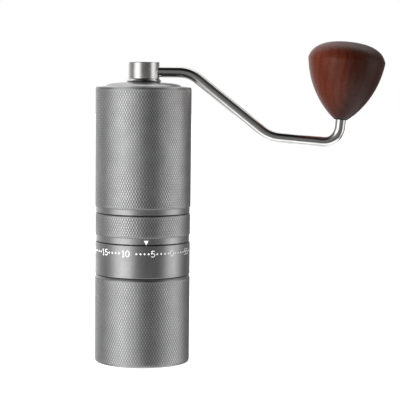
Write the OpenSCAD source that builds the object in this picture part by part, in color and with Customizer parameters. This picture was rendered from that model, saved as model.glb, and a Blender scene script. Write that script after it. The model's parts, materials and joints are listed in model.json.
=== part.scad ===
// Hand crank coffee grinder: knurled body, adjusting ring, numbered ring,
// catch cup, conical burr set on a ball-borne shaft, and a lid that carries
// the bent crank with its wooden knob. The origin is on the shaft's axis at
// the foot of the cup. The crank points along +X and the pointer faces -Y.

/* [Catch cup] */
// Outer radius of the cup
cup_r = 26.4; // [25.6:0.1:32]
// Height of the cup
cup_h = 48.6; // [44:0.1:60]
// Wall of the cup
cup_wall = 2.2; // [1.6:0.1:3]
// Floor of the cup
cup_floor = 2.5; // [2:0.1:4]
// Radius of the cup's inside floor corner
cup_corner_r = 4; // [2:0.5:8]

/* [Rings] */
// Height of the numbered ring
number_h = 17.9; // [15:0.1:24]
// Outer radius of the numbered ring and of the adjusting ring's knurled band
ring_r = 26.3; // [25.6:0.1:32]
// Height of the adjusting ring
adjust_h = 15.4; // [14.4:0.1:20]
// Height of the plain strip that carries the pointer
strip_h = 4.3; // [2:0.1:6]
// Depth of the plain strips below the knurled surfaces
strip_step = 0.45; // [0.2:0.05:0.7]
// Seam between the cup and the numbered ring
cup_seam = 0.5; // [0.3:0.1:1]
// Seam between the numbered ring and the adjusting ring
dial_seam = 0.4; // [0.3:0.1:1]
// Seam between the adjusting ring and the upper body
body_seam = 0.5; // [0.3:0.1:1]
// Detent clicks in one turn of the adjusting ring
clicks = 60; // [30:6:72]

/* [Upper body] */
// Outer radius of the upper body
body_r = 26.5; // [26.2:0.1:32]
// Height of the upper body
body_h = 68.5; // [60:0.5:90]
// Bore radius where the lid, the upper spider and the sleeve seat
bore_r = 24; // [23.6:0.1:24.6]
// Bore radius between the two spiders
chamber_r = 23; // [22.4:0.1:23.2]
// Height of the plain strip at the foot of the upper body
foot_h = 3.2; // [2:0.1:6]

/* [Lid] */
// Thickness of the lid at its outer edge
lid_edge = 0.6; // [0.5:0.1:1.2]
// Rise of the lid from its edge to its flat top
lid_rise = 2.7; // [2:0.1:4]
// Radius of the lid's shallow crown
lid_flat_r = 17; // [13:0.5:18]
// Rise of the crown from its rim to the bush
lid_crown = 0.6; // [0.2:0.1:0.8]
// Radius where the lid's dome starts
lid_dome_r = 21; // [19:0.5:22]
// Depth of the plug below the rim
plug_h = 4.8; // [4:0.1:7]

/* [Crank] */
// Radius of the hub
hub_r = 8.6; // [8:0.1:10]
// Radius of the hub's flared foot
hub_foot_r = 9.8; // [9:0.1:12]
// Height of the hub above the lid
hub_h = 10.8; // [10:0.1:14]
// Radius of the hub's stem
stem_r = 6; // [5.5:0.1:7]
// Radius of the crank rod
rod_r = 3; // [2.5:0.1:3.4]
// How far inside the body's wall the first corner of the rod is
arm_inset = 1.2; // [0:0.1:3]
// Distance from the first corner to the second
arm_slope = 56.4; // [45:0.1:70]
// Distance from the second corner to the third
arm_low = 38.5; // [30:0.1:50]
// Distance from the third corner to the foot of the knob
arm_post = 13.6; // [12:0.1:20]
// Angle of the sloping stretch below level
arm_drop = 38.4; // [25:0.1:45]
// Angle of the low stretch below level
arm_tilt = 5; // [0:0.5:10]
// Centreline radius of the first bend
bend_1_r = 17.5; // [10:0.5:25]
// Centreline radius of the second bend
bend_2_r = 20; // [10:0.5:25]
// Centreline radius of the third bend
bend_3_r = 9; // [7:0.5:11]

/* [Knob] */
// Height of the knob
knob_h = 42.6; // [38:0.1:52]
// Largest radius of the knob
knob_r = 21.3; // [17:0.1:26]
// Radius of the knob's foot
knob_foot_r = 4.3; // [4.2:0.1:5.5]
// Height of the widest line of the knob
knob_wide_h = 32.4; // [28:0.1:36]
// Length of the knob's bush
knob_bush_l = 24; // [18:0.5:27]

/* [Grinding set] */
// Radius of the drive shaft
shaft_r = 4; // [3.6:0.1:4.2]
// Width across the flats of the shaft's hexagon
hex_af = 6.4; // [5.6:0.1:6.8]
// Outer radius of the outer burr
burr_r = 18.9; // [18.5:0.1:18.9]
// Height of the outer burr
burr_h = 14; // [12:0.5:16]
// Radius of the inner burr at its foot
cone_r = 15.5; // [14.5:0.1:15.6]
// Feed flutes of each burr
feed_flutes = 7; // [5:1:8]
// Fine flutes of each burr
fine_flutes = 36; // [24:4:40]
// Outer radius of the ball bearings
bearing_r = 8; // [8:0.1:8.5]
// Width of the ball bearings
bearing_w = 5; // [4:0.5:6]

/* [Sleeve] */
// Outer radius of the sleeve inside the rings
sleeve_r = 22.8; // [22.7:0.05:22.9]
// Inner radius of the sleeve
sleeve_bore_r = 20.4; // [20.3:0.05:20.6]
// Depth of the neck below the numbered ring
neck_h = 8.1; // [6:0.1:12]

/* [Fits] */
// Radial clearance of what turns or slides
running_gap = 0.05; // [0.02:0.01:0.08]
// Radial clearance of what is pressed or screwed together
seat_gap = 0.02; // [0.01:0.01:0.04]
// Clearance of what only has to stay clear
free_gap = 0.2; // [0.15:0.05:0.3]

/* [Hidden] */
$fn = 96;
eps = 0.01;

// Heights, from the foot of the cup upwards
number_z = cup_h + cup_seam;
adjust_z = number_z + number_h + dial_seam;
band_z = adjust_z + strip_h;
body_z = adjust_z + adjust_h + body_seam;
rim_z = body_z + body_h;
lid_top_z = rim_z + lid_edge + lid_rise;
plug_z = rim_z - plug_h;
neck_z = number_z - neck_h;

// Cup, neck and what holds them together
cup_bore_r = cup_r - cup_wall;
cup_ring_wall = 1.2;
cup_ring_h = 2;
cup_ring_z = cup_h - cup_ring_h - 0.2;
cup_mouth_r = sleeve_r + 0.15;
cup_ring_r = cup_r - cup_ring_wall;
neck_seal_section_r = 0.5;
neck_seal_z = cup_ring_z + 1;
neck_seal_r = cup_mouth_r - seat_gap - neck_seal_section_r;
lock_ring_h = 3;
lock_ring_z = number_z + 0.2;
lock_ring_r = 25.2;
magnet_count = 8;
magnet_r = 1;
magnet_h = 2;
magnet_pitch_r = (sleeve_r + lock_ring_r) / 2;

// Detent: a notched ring under the adjusting ring, balls and springs in it
detent_h = 2;
detent_top_z = adjust_z - dial_seam / 2;
detent_wall = 1.1;
detent_r = ring_r - detent_wall;
detent_notch_r = 0.7;
detent_notch_depth = 0.35;
ball_r = 0.8;
ball_count = 3;
ball_pitch_r = (sleeve_r + ring_r - strip_step) / 2;
ball_z = detent_top_z + ball_r + seat_gap;
ball_bore_top_z = adjust_z + 3.6;

// Adjusting ring: the thread is a plain bore that the carrier's keys reach
thread_lip = 1.4;
thread_r = ring_r - 1.95;
thread_z = band_z - 0.1;
thread_top_z = body_z - body_seam - thread_lip;
key_h = 4;
key_w = 9;
key_z = thread_z + 2.4;
key_count = 3;
key_first_angle = 30;
key_up = 1.85;
key_down = 0.1;
key_in_r = burr_r + 0.3;
key_out_r = thread_r - running_gap;

// Burrs and their carrier
carrier_r = sleeve_bore_r - running_gap;
carrier_h = 24;
carrier_z = key_z + key_h + 1 - carrier_h;
burr_z = carrier_z + 1;
burr_top_z = burr_z + burr_h;
carrier_throat_r = 16.5;
carrier_mouth_r = 18.4;
cone_z = burr_z - 0.5;
cone_h = 16;
fine_h = 5;
fine_slope = 0.2;
burr_gap = 0.12;
cone_mid_r = cone_r - fine_slope * fine_h;
cone_top_r = 7.5;
outer_mid_r = cone_mid_r + burr_gap;
outer_foot_r = outer_mid_r + fine_slope * (fine_h - 0.5);
outer_mouth_r = cone_mid_r;
burr_screw_pitch_r = (burr_r + outer_foot_r) / 2 + 0.35;
burr_screw_r = 0.8;

// Bearings
race_wall = 1.4;
race_r = (shaft_r + bearing_r) / 2;
bearing_ball_r = 1.15;
bearing_ball_count = 9;
cage_wall = 0.9;
cage_h = 3;
spider_hub_r = bearing_r + 2;
spider_arm_w = 5;
spider_count = 3;
spider_rim = 2.5;
spider_hub_h = bearing_w + 1;
bearing_shoulder_r = bearing_r - 1.2;
lower_spider_z = body_z - 0.3;
lower_bearing_z = lower_spider_z + 1;
sleeve_top_z = body_z + 12.7;
sleeve_seat_r = sleeve_bore_r + 1.6;
upper_spider_z = rim_z - 25.8;
upper_bearing_z = upper_spider_z + 1;
upper_rim_h = 4;
upper_clip_h = 1.2;

// Shaft
shaft_end_z = burr_z - 8.2;
thread_end_r = 3;
hex_z = upper_bearing_z + bearing_w + 5;
shaft_top_z = rim_z + 1.4;
nut_h = 5;
nut_af = 10;
washer_h = 1.2;
shaft_clip_z = upper_bearing_z + bearing_w + 0.02;

// Lid, bush and hub
hub_z = lid_top_z + 0.4;
hub_top_z = hub_z + hub_h;
rod_z = hub_z + hub_h / 2;
rod_in = 4;
stem_z = plug_z - 0.2;
stem_clip_z = stem_z + 1.2;
stem_clip_h = 0.9;
lid_boss_z = stem_clip_z + stem_clip_h + 0.1;
lid_bush_r = stem_r + 2;
lid_plug_r = bore_r - 0.4;
lid_skirt_wall = 2.2;
lid_wall = 2.3;
lid_seal_section_r = 0.9;
lid_seal_z = (plug_z + rim_z) / 2;
lid_seal_r = bore_r - running_gap - lid_seal_section_r;
socket_top_z = shaft_top_z + 0.8;
grub_r = 1.5;

// Crank arm and knob
joint_ball = 0.005;
post_gap = 0.6;
pin_r = rod_r - 0.5;
bush_wall = 0.85;
bush_r = pin_r + running_gap + bush_wall;
knob_clip_h = 0.8;
knob_clip_r = bush_r - free_gap;
pin_l = knob_bush_l + 2.5;
knob_bore_l = pin_l + 1.5;

// Points of a cubic curve between two ends
function curve(a, b, c, d, n) = [for (i = [0 : n])
    let (t = i / n, s = 1 - t) s * s * s * a + 3 * s * s * t * b + 3 * s * t * t * c + t * t * t * d];

// A ring between two radii
module tube(r_out, r_in, h) {
    difference() {
        cylinder(r = r_out, h = h);
        translate([0, 0, -eps]) cylinder(r = r_in, h = h + 2 * eps);
    }
}

// A disc whose two edges are chamfered
module chamfered(r, h, low, high) {
    rotate_extrude() polygon([[0, 0], [r - low, 0], [r, low], [r, h - high], [r - high, h], [0, h]]);
}

// A round ring of round section
module torus(r, section_r) {
    rotate_extrude() translate([r, 0]) circle(r = section_r);
}

// Copies of the children at equal angles about Z
module around(count, first = 0) {
    for (i = [0 : count - 1]) rotate([0, 0, first + i * 360 / count]) children();
}

// An open spring clip: a ring with a gap on its +X side
module c_clip(r_out, r_in, h, gap) {
    difference() {
        tube(r_out, r_in, h);
        translate([0, -gap / 2, -eps]) cube([r_out + 1, gap, h + 2 * eps]);
    }
}

// A screw along +Z from its tip at the origin, with a hexagon socket
module socket_screw(r, length, head_r, head_h) {
    difference() {
        union() {
            cylinder(r = r, h = length);
            if (head_h > 0) translate([0, 0, length - head_h]) cylinder(r = head_r, h = head_h);
        }
        translate([0, 0, length - 0.8]) cylinder(r = r * 0.55, h = 1, $fn = 6);
    }
}

module catch_cup() color([0.56, 0.56, 0.57]) {
    difference() {
        chamfered(cup_r, cup_h, 1, 0.4);
        rotate_extrude() {
            square_top = cup_ring_z + eps;
            union() {
                translate([0, cup_floor + cup_corner_r])
                    square([cup_bore_r, square_top - cup_floor - cup_corner_r]);
                translate([0, cup_floor]) square([cup_bore_r - cup_corner_r, cup_corner_r + eps]);
                intersection() {
                    translate([cup_bore_r - cup_corner_r, cup_floor + cup_corner_r])
                        circle(r = cup_corner_r);
                    translate([0, cup_floor]) square([cup_bore_r, cup_corner_r + eps]);
                }
            }
        }
        translate([0, 0, cup_ring_z]) cylinder(r = cup_ring_r, h = cup_h);
    }
}

module cup_ring() color([0.75, 0.75, 0.76]) {
    translate([0, 0, cup_ring_z]) tube(cup_ring_r - seat_gap, cup_mouth_r, cup_ring_h);
}

module inner_sleeve() color([0.25, 0.25, 0.27]) {
    difference() {
        union() {
            translate([0, 0, neck_z]) cylinder(r = sleeve_r, h = body_z - neck_z + eps);
            translate([0, 0, body_z]) cylinder(r = bore_r - seat_gap, h = sleeve_top_z - body_z);
        }
        translate([0, 0, neck_z - 1]) cylinder(r = sleeve_bore_r, h = sleeve_top_z - neck_z + 2);
        translate([0, 0, lower_spider_z]) cylinder(r = sleeve_seat_r, h = sleeve_top_z);
        translate([0, 0, neck_seal_z]) torus(neck_seal_r, neck_seal_section_r + seat_gap);
        around(key_count, key_first_angle)
            translate([sleeve_bore_r - 2, -key_w / 2 - running_gap, key_z - key_down - 0.1])
                cube([6, key_w + 2 * running_gap, key_h + key_up + key_down + 0.25]);
        around(spider_count, 90)
            translate([sleeve_bore_r, 0, lower_spider_z + 3]) rotate([0, 90, 0]) {
                cylinder(r = 1.25, h = 6);
                translate([0, 0, bore_r - sleeve_bore_r - 1.2]) cylinder(r = 2.3, h = 3);
            }
    }
}

module neck_seal() color([0.08, 0.08, 0.08]) {
    translate([0, 0, neck_seal_z]) torus(neck_seal_r, neck_seal_section_r);
}

module number_ring() color([0.45, 0.45, 0.46]) {
    translate([0, 0, number_z]) difference() {
        chamfered(ring_r, number_h, 0.4, 0.25);
        translate([0, 0, -1]) cylinder(r = sleeve_r + seat_gap, h = number_h + 2);
        translate([0, 0, -1]) cylinder(r = lock_ring_r + seat_gap, h = lock_ring_z - number_z + lock_ring_h + 1);
        translate([0, 0, detent_top_z - detent_h - number_z]) cylinder(r = detent_r + seat_gap, h = number_h);
    }
}

module lock_ring() color([0.3, 0.3, 0.32]) {
    translate([0, 0, lock_ring_z]) difference() {
        tube(lock_ring_r, sleeve_r + seat_gap, lock_ring_h);
        around(magnet_count) translate([magnet_pitch_r, 0, -eps]) cylinder(r = magnet_r + seat_gap, h = magnet_h + eps);
        around(2, 22.5) translate([sleeve_r - 1, -1, -eps]) cube([5, 2, 1.2]);
    }
}

module magnets() color([0.8, 0.8, 0.82]) {
    around(magnet_count) translate([magnet_pitch_r, 0, lock_ring_z]) cylinder(r = magnet_r, h = magnet_h);
}

module detent_ring() color([0.7, 0.7, 0.72]) {
    difference() {
        translate([0, 0, detent_top_z - detent_h]) tube(detent_r, sleeve_r + 0.3, detent_h);
        around(clicks, 3)
            translate([sleeve_r, 0, detent_top_z + detent_notch_r - detent_notch_depth])
                rotate([0, 90, 0]) cylinder(r = detent_notch_r, h = 4);
    }
}

module detent_balls() color([0.85, 0.85, 0.87]) {
    around(ball_count, 90) translate([ball_pitch_r, 0, ball_z]) sphere(r = ball_r);
}

module detent_springs() color([0.6, 0.6, 0.62]) {
    around(ball_count, 90) translate([ball_pitch_r, 0, ball_z + ball_r * 0.8])
        tube(ball_r - 0.05, ball_r - 0.3, ball_bore_top_z - ball_z - ball_r * 0.8 - seat_gap);
}

module adjust_ring() color([0.55, 0.55, 0.56]) {
    difference() {
        union() {
            translate([0, 0, adjust_z]) chamfered(ring_r - strip_step, strip_h + 1, 0.25, 0.1);
            translate([0, 0, band_z]) chamfered(ring_r, adjust_h - strip_h, 0.3, 0.3);
        }
        translate([0, 0, adjust_z - 1]) cylinder(r = sleeve_r + running_gap, h = adjust_h + 2);
        translate([0, 0, thread_z]) cylinder(r = thread_r, h = thread_top_z - thread_z);
        around(ball_count, 90) translate([ball_pitch_r, 0, adjust_z - 1])
            cylinder(r = ball_r + running_gap, h = ball_bore_top_z - adjust_z + 1);
    }
}

module glide_ring() color([0.06, 0.06, 0.06]) {
    translate([0, 0, body_z - body_seam + 0.03]) tube(ring_r - 1, sleeve_r + running_gap, body_seam - 0.05);
}

module burr_carrier() color([0.6, 0.6, 0.6]) {
    difference() {
        translate([0, 0, carrier_z]) chamfered(carrier_r, carrier_h, 0.5, 0.5);
        translate([0, 0, carrier_z - 1]) cylinder(r = burr_r + seat_gap, h = burr_top_z - carrier_z + 1);
        translate([0, 0, burr_top_z - eps])
            cylinder(r1 = carrier_throat_r, r2 = carrier_mouth_r, h = carrier_z + carrier_h - burr_top_z + 2 * eps);
        around(key_count, key_first_angle) {
            translate([key_in_r, -key_w / 2, key_z]) cube([4, key_w, key_h]);
            translate([0, 0, key_z + key_h / 2]) rotate([0, 90, 0]) cylinder(r = 0.8, h = carrier_r + 1);
        }
        around(3, 90) translate([burr_screw_pitch_r, 0, burr_top_z - 1]) cylinder(r = burr_screw_r, h = 5);
    }
}

// Flutes run down the slope of the burr from a point on its axis
module flutes(count, r, low_r, low_z, high_r, high_z, lean) {
    slope = atan((high_r - low_r) / (high_z - low_z));
    around(count) translate([low_r, 0, low_z]) rotate([lean, slope, 0])
        translate([0, 0, -2]) cylinder(r = r, h = (high_z - low_z) / cos(slope) + 4, $fn = 24);
}

module outer_burr() color([0.42, 0.42, 0.44]) {
    translate([0, 0, burr_z]) difference() {
        cylinder(r = burr_r, h = burr_h);
        translate([0, 0, -eps]) cylinder(r1 = outer_foot_r, r2 = outer_mid_r, h = fine_h - 0.5 + 2 * eps);
        translate([0, 0, fine_h - 0.5])
            cylinder(r1 = outer_mid_r, r2 = outer_mouth_r, h = burr_h - fine_h + 0.5 + eps);
        flutes(fine_flutes, 0.35, outer_foot_r, 0, outer_mid_r, fine_h - 2, 0);
        flutes(feed_flutes, 1.6, outer_mid_r - 0.2, fine_h, outer_mouth_r + 0.3, burr_h, 0);
        around(3, 90) translate([burr_screw_pitch_r, 0, -1]) {
            cylinder(r = burr_screw_r + seat_gap, h = burr_h + 2);
            cylinder(r = burr_screw_r + 0.35, h = 2.2);
        }
    }
}

module burr_screws() color([0.7, 0.7, 0.72]) {
    around(3, 90) translate([burr_screw_pitch_r, 0, burr_top_z + 3.5]) mirror([0, 0, 1])
        socket_screw(burr_screw_r, burr_h + 3.4, burr_screw_r + 0.3, 1);
}

module carrier_keys() color([0.78, 0.63, 0.32]) {
    around(key_count, key_first_angle) difference() {
        intersection() {
            translate([key_in_r, -key_w / 2, key_z]) cube([6, key_w, key_h]);
            translate([0, 0, key_z]) cylinder(r = key_out_r, h = key_h);
        }
        translate([0, 0, key_z + key_h / 2]) rotate([0, 90, 0]) cylinder(r = 1, h = key_out_r + 1);
        translate([key_out_r - 1.4, 0, key_z + key_h / 2]) rotate([0, 90, 0]) cylinder(r = 1.7, h = 3);
    }
}

module key_screws() color([0.7, 0.7, 0.72]) {
    around(key_count, key_first_angle) translate([carrier_mouth_r + 0.2, 0, key_z + key_h / 2])
        rotate([0, 90, 0]) socket_screw(0.78, key_out_r - carrier_mouth_r - 0.6, 1.6, 0.9);
}

module upper_body() color([0.5, 0.5, 0.51]) {
    difference() {
        union() {
            translate([0, 0, body_z]) chamfered(body_r - strip_step, foot_h + 1, 0.25, 0.1);
            translate([0, 0, body_z + foot_h]) chamfered(body_r, body_h - foot_h, 0.3, 0.5);
        }
        translate([0, 0, body_z - 1]) cylinder(r = bore_r, h = sleeve_top_z - body_z + 1.5);
        translate([0, 0, body_z]) cylinder(r = chamber_r, h = body_h);
        translate([0, 0, upper_spider_z]) cylinder(r = bore_r, h = rim_z);
        translate([0, 0, upper_spider_z + upper_rim_h + 0.1]) cylinder(r = bore_r + 1, h = upper_clip_h);
    }
}

// A ring and a bearing seat joined by arms
module spider(rim_r, rim_h) {
    difference() {
        union() {
            tube(rim_r, rim_r - spider_rim, rim_h);
            cylinder(r = spider_hub_r, h = spider_hub_h);
            around(spider_count, 90) translate([0, -spider_arm_w / 2, 0])
                cube([rim_r - spider_rim / 2, spider_arm_w, rim_h]);
        }
        translate([0, 0, 1]) cylinder(r = bearing_r, h = spider_hub_h);
        translate([0, 0, -1]) cylinder(r = bearing_shoulder_r, h = 3);
    }
}

module upper_spider() color([0.62, 0.62, 0.63]) {
    translate([0, 0, upper_spider_z]) spider(bore_r - seat_gap, upper_rim_h);
}

module upper_spider_clip() color([0.3, 0.3, 0.3]) {
    translate([0, 0, upper_spider_z + upper_rim_h + 0.15]) c_clip(bore_r + 0.9, bore_r - 1.6, upper_clip_h - 0.1, 5);
}

module lower_spider() color([0.62, 0.62, 0.63]) {
    difference() {
        translate([0, 0, lower_spider_z]) spider(sleeve_seat_r - seat_gap, spider_hub_h - 0.5);
        around(spider_count, 90) translate([sleeve_seat_r - 5, 0, lower_spider_z + 3])
            rotate([0, 90, 0]) cylinder(r = 1.25, h = 6);
    }
}

module lower_spider_screws() color([0.7, 0.7, 0.72]) {
    around(spider_count, 90) translate([sleeve_seat_r - 4.6, 0, lower_spider_z + 3])
        rotate([0, 90, 0]) socket_screw(1.23, bore_r - sleeve_seat_r + 4.4, 2.2, 1);
}

// The two rings of a ball bearing, its cage and its balls
module outer_race() color([0.75, 0.75, 0.77]) {
    difference() {
        tube(bearing_r - eps, bearing_r - race_wall, bearing_w);
        translate([0, 0, bearing_w / 2]) torus(race_r, bearing_ball_r + running_gap);
    }
}

module inner_race() color([0.75, 0.75, 0.77]) {
    difference() {
        tube(shaft_r + race_wall, shaft_r + eps, bearing_w);
        translate([0, 0, bearing_w / 2]) torus(race_r, bearing_ball_r + running_gap);
    }
}

module cage() color([0.72, 0.58, 0.3]) {
    difference() {
        translate([0, 0, (bearing_w - cage_h) / 2]) tube(race_r + cage_wall / 2, race_r - cage_wall / 2, cage_h);
        around(bearing_ball_count) translate([race_r - 2, 0, bearing_w / 2])
            rotate([0, 90, 0]) cylinder(r = bearing_ball_r + running_gap, h = 4);
    }
}

module balls() color([0.85, 0.85, 0.87]) {
    around(bearing_ball_count) translate([race_r, 0, bearing_w / 2]) sphere(r = bearing_ball_r);
}

module upper_outer_race() translate([0, 0, upper_bearing_z]) outer_race();
module upper_inner_race() translate([0, 0, upper_bearing_z]) inner_race();
module upper_cage() translate([0, 0, upper_bearing_z]) cage();
module upper_balls() translate([0, 0, upper_bearing_z]) balls();
module lower_outer_race() translate([0, 0, lower_bearing_z]) outer_race();
module lower_inner_race() translate([0, 0, lower_bearing_z]) inner_race();
module lower_cage() translate([0, 0, lower_bearing_z]) cage();
module lower_balls() translate([0, 0, lower_bearing_z]) balls();

module drive_shaft() color([0.7, 0.7, 0.71]) {
    difference() {
        union() {
            translate([0, 0, shaft_end_z]) chamfered(thread_end_r, cone_z - shaft_end_z + eps, 0.5, 0);
            translate([0, 0, cone_z]) cylinder(r = shaft_r, h = hex_z - cone_z);
            translate([0, 0, hex_z - eps])
                cylinder(r = hex_af / sqrt(3), h = shaft_top_z - hex_z + eps, $fn = 6);
        }
        translate([0, 0, shaft_clip_z]) tube(shaft_r + 1, shaft_r - 0.4, 0.8);
    }
}

module shaft_clip() color([0.3, 0.3, 0.3]) {
    translate([0, 0, shaft_clip_z + 0.03]) c_clip(shaft_r + 1.6, shaft_r - 0.35, 0.72, 3);
}

module preload_spring() color([0.72, 0.72, 0.73]) {
    translate([0, 0, cone_z + cone_h]) tube(shaft_r + 2, shaft_r + 0.6, lower_bearing_z - cone_z - cone_h);
}

module inner_burr() color([0.4, 0.4, 0.42]) {
    translate([0, 0, cone_z]) difference() {
        union() {
            cylinder(r1 = cone_r, r2 = cone_mid_r, h = fine_h);
            translate([0, 0, fine_h - eps]) cylinder(r1 = cone_mid_r, r2 = cone_top_r, h = cone_h - fine_h + eps);
        }
        translate([0, 0, -1]) cylinder(r = shaft_r + eps, h = cone_h + 2);
        flutes(fine_flutes, 0.35, cone_r, 0, cone_mid_r, fine_h - 1.5, 0);
        flutes(feed_flutes, 1.7, cone_mid_r, fine_h + 1.5, cone_top_r + 0.6, cone_h, -8);
    }
}

module burr_washer() color([0.72, 0.72, 0.73]) {
    translate([0, 0, cone_z - washer_h]) tube(8, thread_end_r + 0.1, washer_h);
}

module burr_nut() color([0.75, 0.75, 0.76]) {
    translate([0, 0, cone_z - washer_h - nut_h]) difference() {
        cylinder(r = nut_af / sqrt(3), h = nut_h, $fn = 6);
        translate([0, 0, -1]) cylinder(r = thread_end_r + eps, h = nut_h + 2);
    }
}

module lid() color([0.5, 0.5, 0.51]) {
    difference() {
        rotate_extrude() polygon(concat(
            [[lid_bush_r, lid_boss_z], [lid_bush_r + 2, lid_boss_z], [lid_bush_r + 2, lid_top_z - lid_wall - 0.4],
                [lid_flat_r, lid_top_z - lid_wall - 0.4], [lid_plug_r - lid_skirt_wall, rim_z - 1.2],
                [lid_plug_r - lid_skirt_wall, plug_z], [lid_plug_r - 0.3, plug_z], [lid_plug_r, plug_z + 0.3],
                [lid_plug_r, rim_z], [body_r - 0.3, rim_z], [body_r - 0.2, rim_z + 0.1],
                [body_r - 0.2, rim_z + lid_edge - 0.2], [body_r - 0.4, rim_z + lid_edge]],
            curve([lid_dome_r, rim_z + lid_edge + 0.6], [lid_dome_r - 1.3, rim_z + lid_edge + 1.5],
                [lid_flat_r + 1.6, lid_top_z - 0.9], [lid_flat_r, lid_top_z - lid_crown], 6),
            [[lid_bush_r + 2.6, lid_top_z], [lid_bush_r, lid_top_z]]));
        translate([0, 0, lid_seal_z]) torus(lid_seal_r, lid_seal_section_r + seat_gap);
    }
}

module lid_bush() color([0.72, 0.56, 0.28]) {
    translate([0, 0, lid_boss_z]) tube(lid_bush_r - seat_gap, stem_r + running_gap, lid_top_z - lid_boss_z);
}

module lid_seal() color([0.08, 0.08, 0.08]) {
    translate([0, 0, lid_seal_z]) torus(lid_seal_r, lid_seal_section_r);
}

module crank_hub() color([0.82, 0.82, 0.82]) {
    difference() {
        rotate_extrude() polygon(concat(
            [[0, stem_z], [stem_r - 0.4, stem_z], [stem_r, stem_z + 0.4], [stem_r, hub_z], [hub_foot_r - 0.2, hub_z]],
            curve([hub_foot_r, hub_z + 0.2], [hub_foot_r - 0.2, hub_z + 0.9],
                [hub_r + 0.1, hub_z + 1.1], [hub_r, hub_z + 1.9], 5),
            [[hub_r, hub_top_z - 0.5], [hub_r - 0.15, hub_top_z - 0.15], [hub_r - 0.5, hub_top_z], [0, hub_top_z]]));
        translate([0, 0, stem_clip_z - 0.02]) tube(stem_r + 1, stem_r - 0.8, stem_clip_h + 0.04);
        translate([0, 0, stem_z - 1]) cylinder(r = hex_af / sqrt(3) + running_gap, h = socket_top_z - stem_z + 1, $fn = 6);
        translate([-rod_in, 0, rod_z]) rotate([0, 90, 0]) cylinder(r = rod_r + eps, h = hub_r + rod_in + 2);
        translate([0, 0, rod_z]) rotate([-90, 0, 0]) cylinder(r = grub_r, h = hub_r + 1);
    }
}

module hub_washer() color([0.06, 0.06, 0.06]) {
    translate([0, 0, lid_top_z]) tube(hub_foot_r - 0.7, stem_r + 0.1, hub_z - lid_top_z - 0.05);
}

module hub_clip() color([0.3, 0.3, 0.3]) {
    translate([0, 0, stem_clip_z]) c_clip(stem_r + 1.8, stem_r - 0.75, stem_clip_h, 4);
}

module hub_grub_screw() color([0.2, 0.2, 0.2]) {
    translate([0, rod_r + eps, rod_z]) rotate([-90, 0, 0]) socket_screw(grub_r - eps, hub_r - rod_r - 0.6, grub_r, 0);
}

// A straight stretch of rod along +X, with the next stretch at its end
module straight(length) {
    rotate([0, 90, 0]) cylinder(r = rod_r, h = length);
    translate([length, 0, 0]) children();
}

// A bend in the XZ plane, up for a positive angle, with the next stretch at its end.
// A ball a hair thicker than the rod closes the joint at each of its ends.
module bend(angle, r) {
    side = angle < 0 ? -1 : 1;
    sphere(r = rod_r + joint_ball);
    translate([0, 0, side * r]) rotate([side * 90, 0, 0]) rotate([0, 0, -90])
        rotate_extrude(angle = side * angle) translate([r, 0]) circle(r = rod_r);
    translate([r * sin(side * angle), 0, side * r * (1 - cos(angle))]) rotate([0, -angle, 0]) {
        sphere(r = rod_r + joint_ball);
        children();
    }
}

// Each bend takes this much of the straight stretches at its corner
cut_1 = bend_1_r * tan(arm_drop / 2);
cut_2 = bend_2_r * tan((arm_drop - arm_tilt) / 2);
cut_3 = bend_3_r;

// The first and third corners, and the frame at the knob's foot with +Z along its axis
arm_reach = body_r - arm_inset;
corner_x = arm_reach + arm_slope * cos(arm_drop) + arm_low * cos(arm_tilt);
corner_z = rod_z - arm_slope * sin(arm_drop) - arm_low * sin(arm_tilt);
module at_knob() {
    translate([corner_x, 0, corner_z]) rotate([0, arm_tilt, 0]) translate([0, 0, arm_post]) children();
}

module crank_arm() color([0.85, 0.85, 0.86]) {
    translate([-rod_in, 0, rod_z])
        straight(rod_in + arm_reach - cut_1) bend(-arm_drop, bend_1_r)
        straight(arm_slope - cut_1 - cut_2) bend(arm_drop - arm_tilt, bend_2_r)
        straight(arm_low - cut_2 - cut_3) bend(90, bend_3_r)
        straight(arm_post - cut_3 - post_gap);
    difference() {
        at_knob() translate([0, 0, -post_gap - 1]) cylinder(r = pin_r, h = pin_l + post_gap + 1);
        at_knob() translate([0, 0, knob_bush_l + 0.25]) tube(pin_r + 1, pin_r - 0.5, knob_clip_h);
    }
}

module knob_washer() color([0.1, 0.1, 0.1]) {
    at_knob() translate([0, 0, -post_gap + 0.05]) tube(knob_foot_r - 0.4, pin_r + 0.1, post_gap - 0.1);
}

module knob_clip() color([0.3, 0.3, 0.3]) {
    at_knob() translate([0, 0, knob_bush_l + 0.27]) c_clip(knob_clip_r, pin_r - 0.48, knob_clip_h - 0.04, 2);
}

module knob() color([0.36, 0.17, 0.11]) {
    at_knob() difference() {
        rotate_extrude() polygon(concat([[0, 0]],
            curve([knob_foot_r, 0], [knob_r * 0.89, knob_wide_h * 0.39],
                [knob_r * 0.97, knob_wide_h * 0.86], [knob_r, knob_wide_h], 16),
            curve([knob_r, knob_wide_h], [knob_r - 0.9, knob_wide_h + 2.9],
                [knob_r * 0.86, knob_h], [0, knob_h], 14)));
        translate([0, 0, -1]) cylinder(r = bush_r, h = knob_bore_l + 1);
    }
}

module knob_bush() color([0.72, 0.56, 0.28]) {
    at_knob() tube(bush_r - eps, pin_r + running_gap, knob_bush_l);
}

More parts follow.
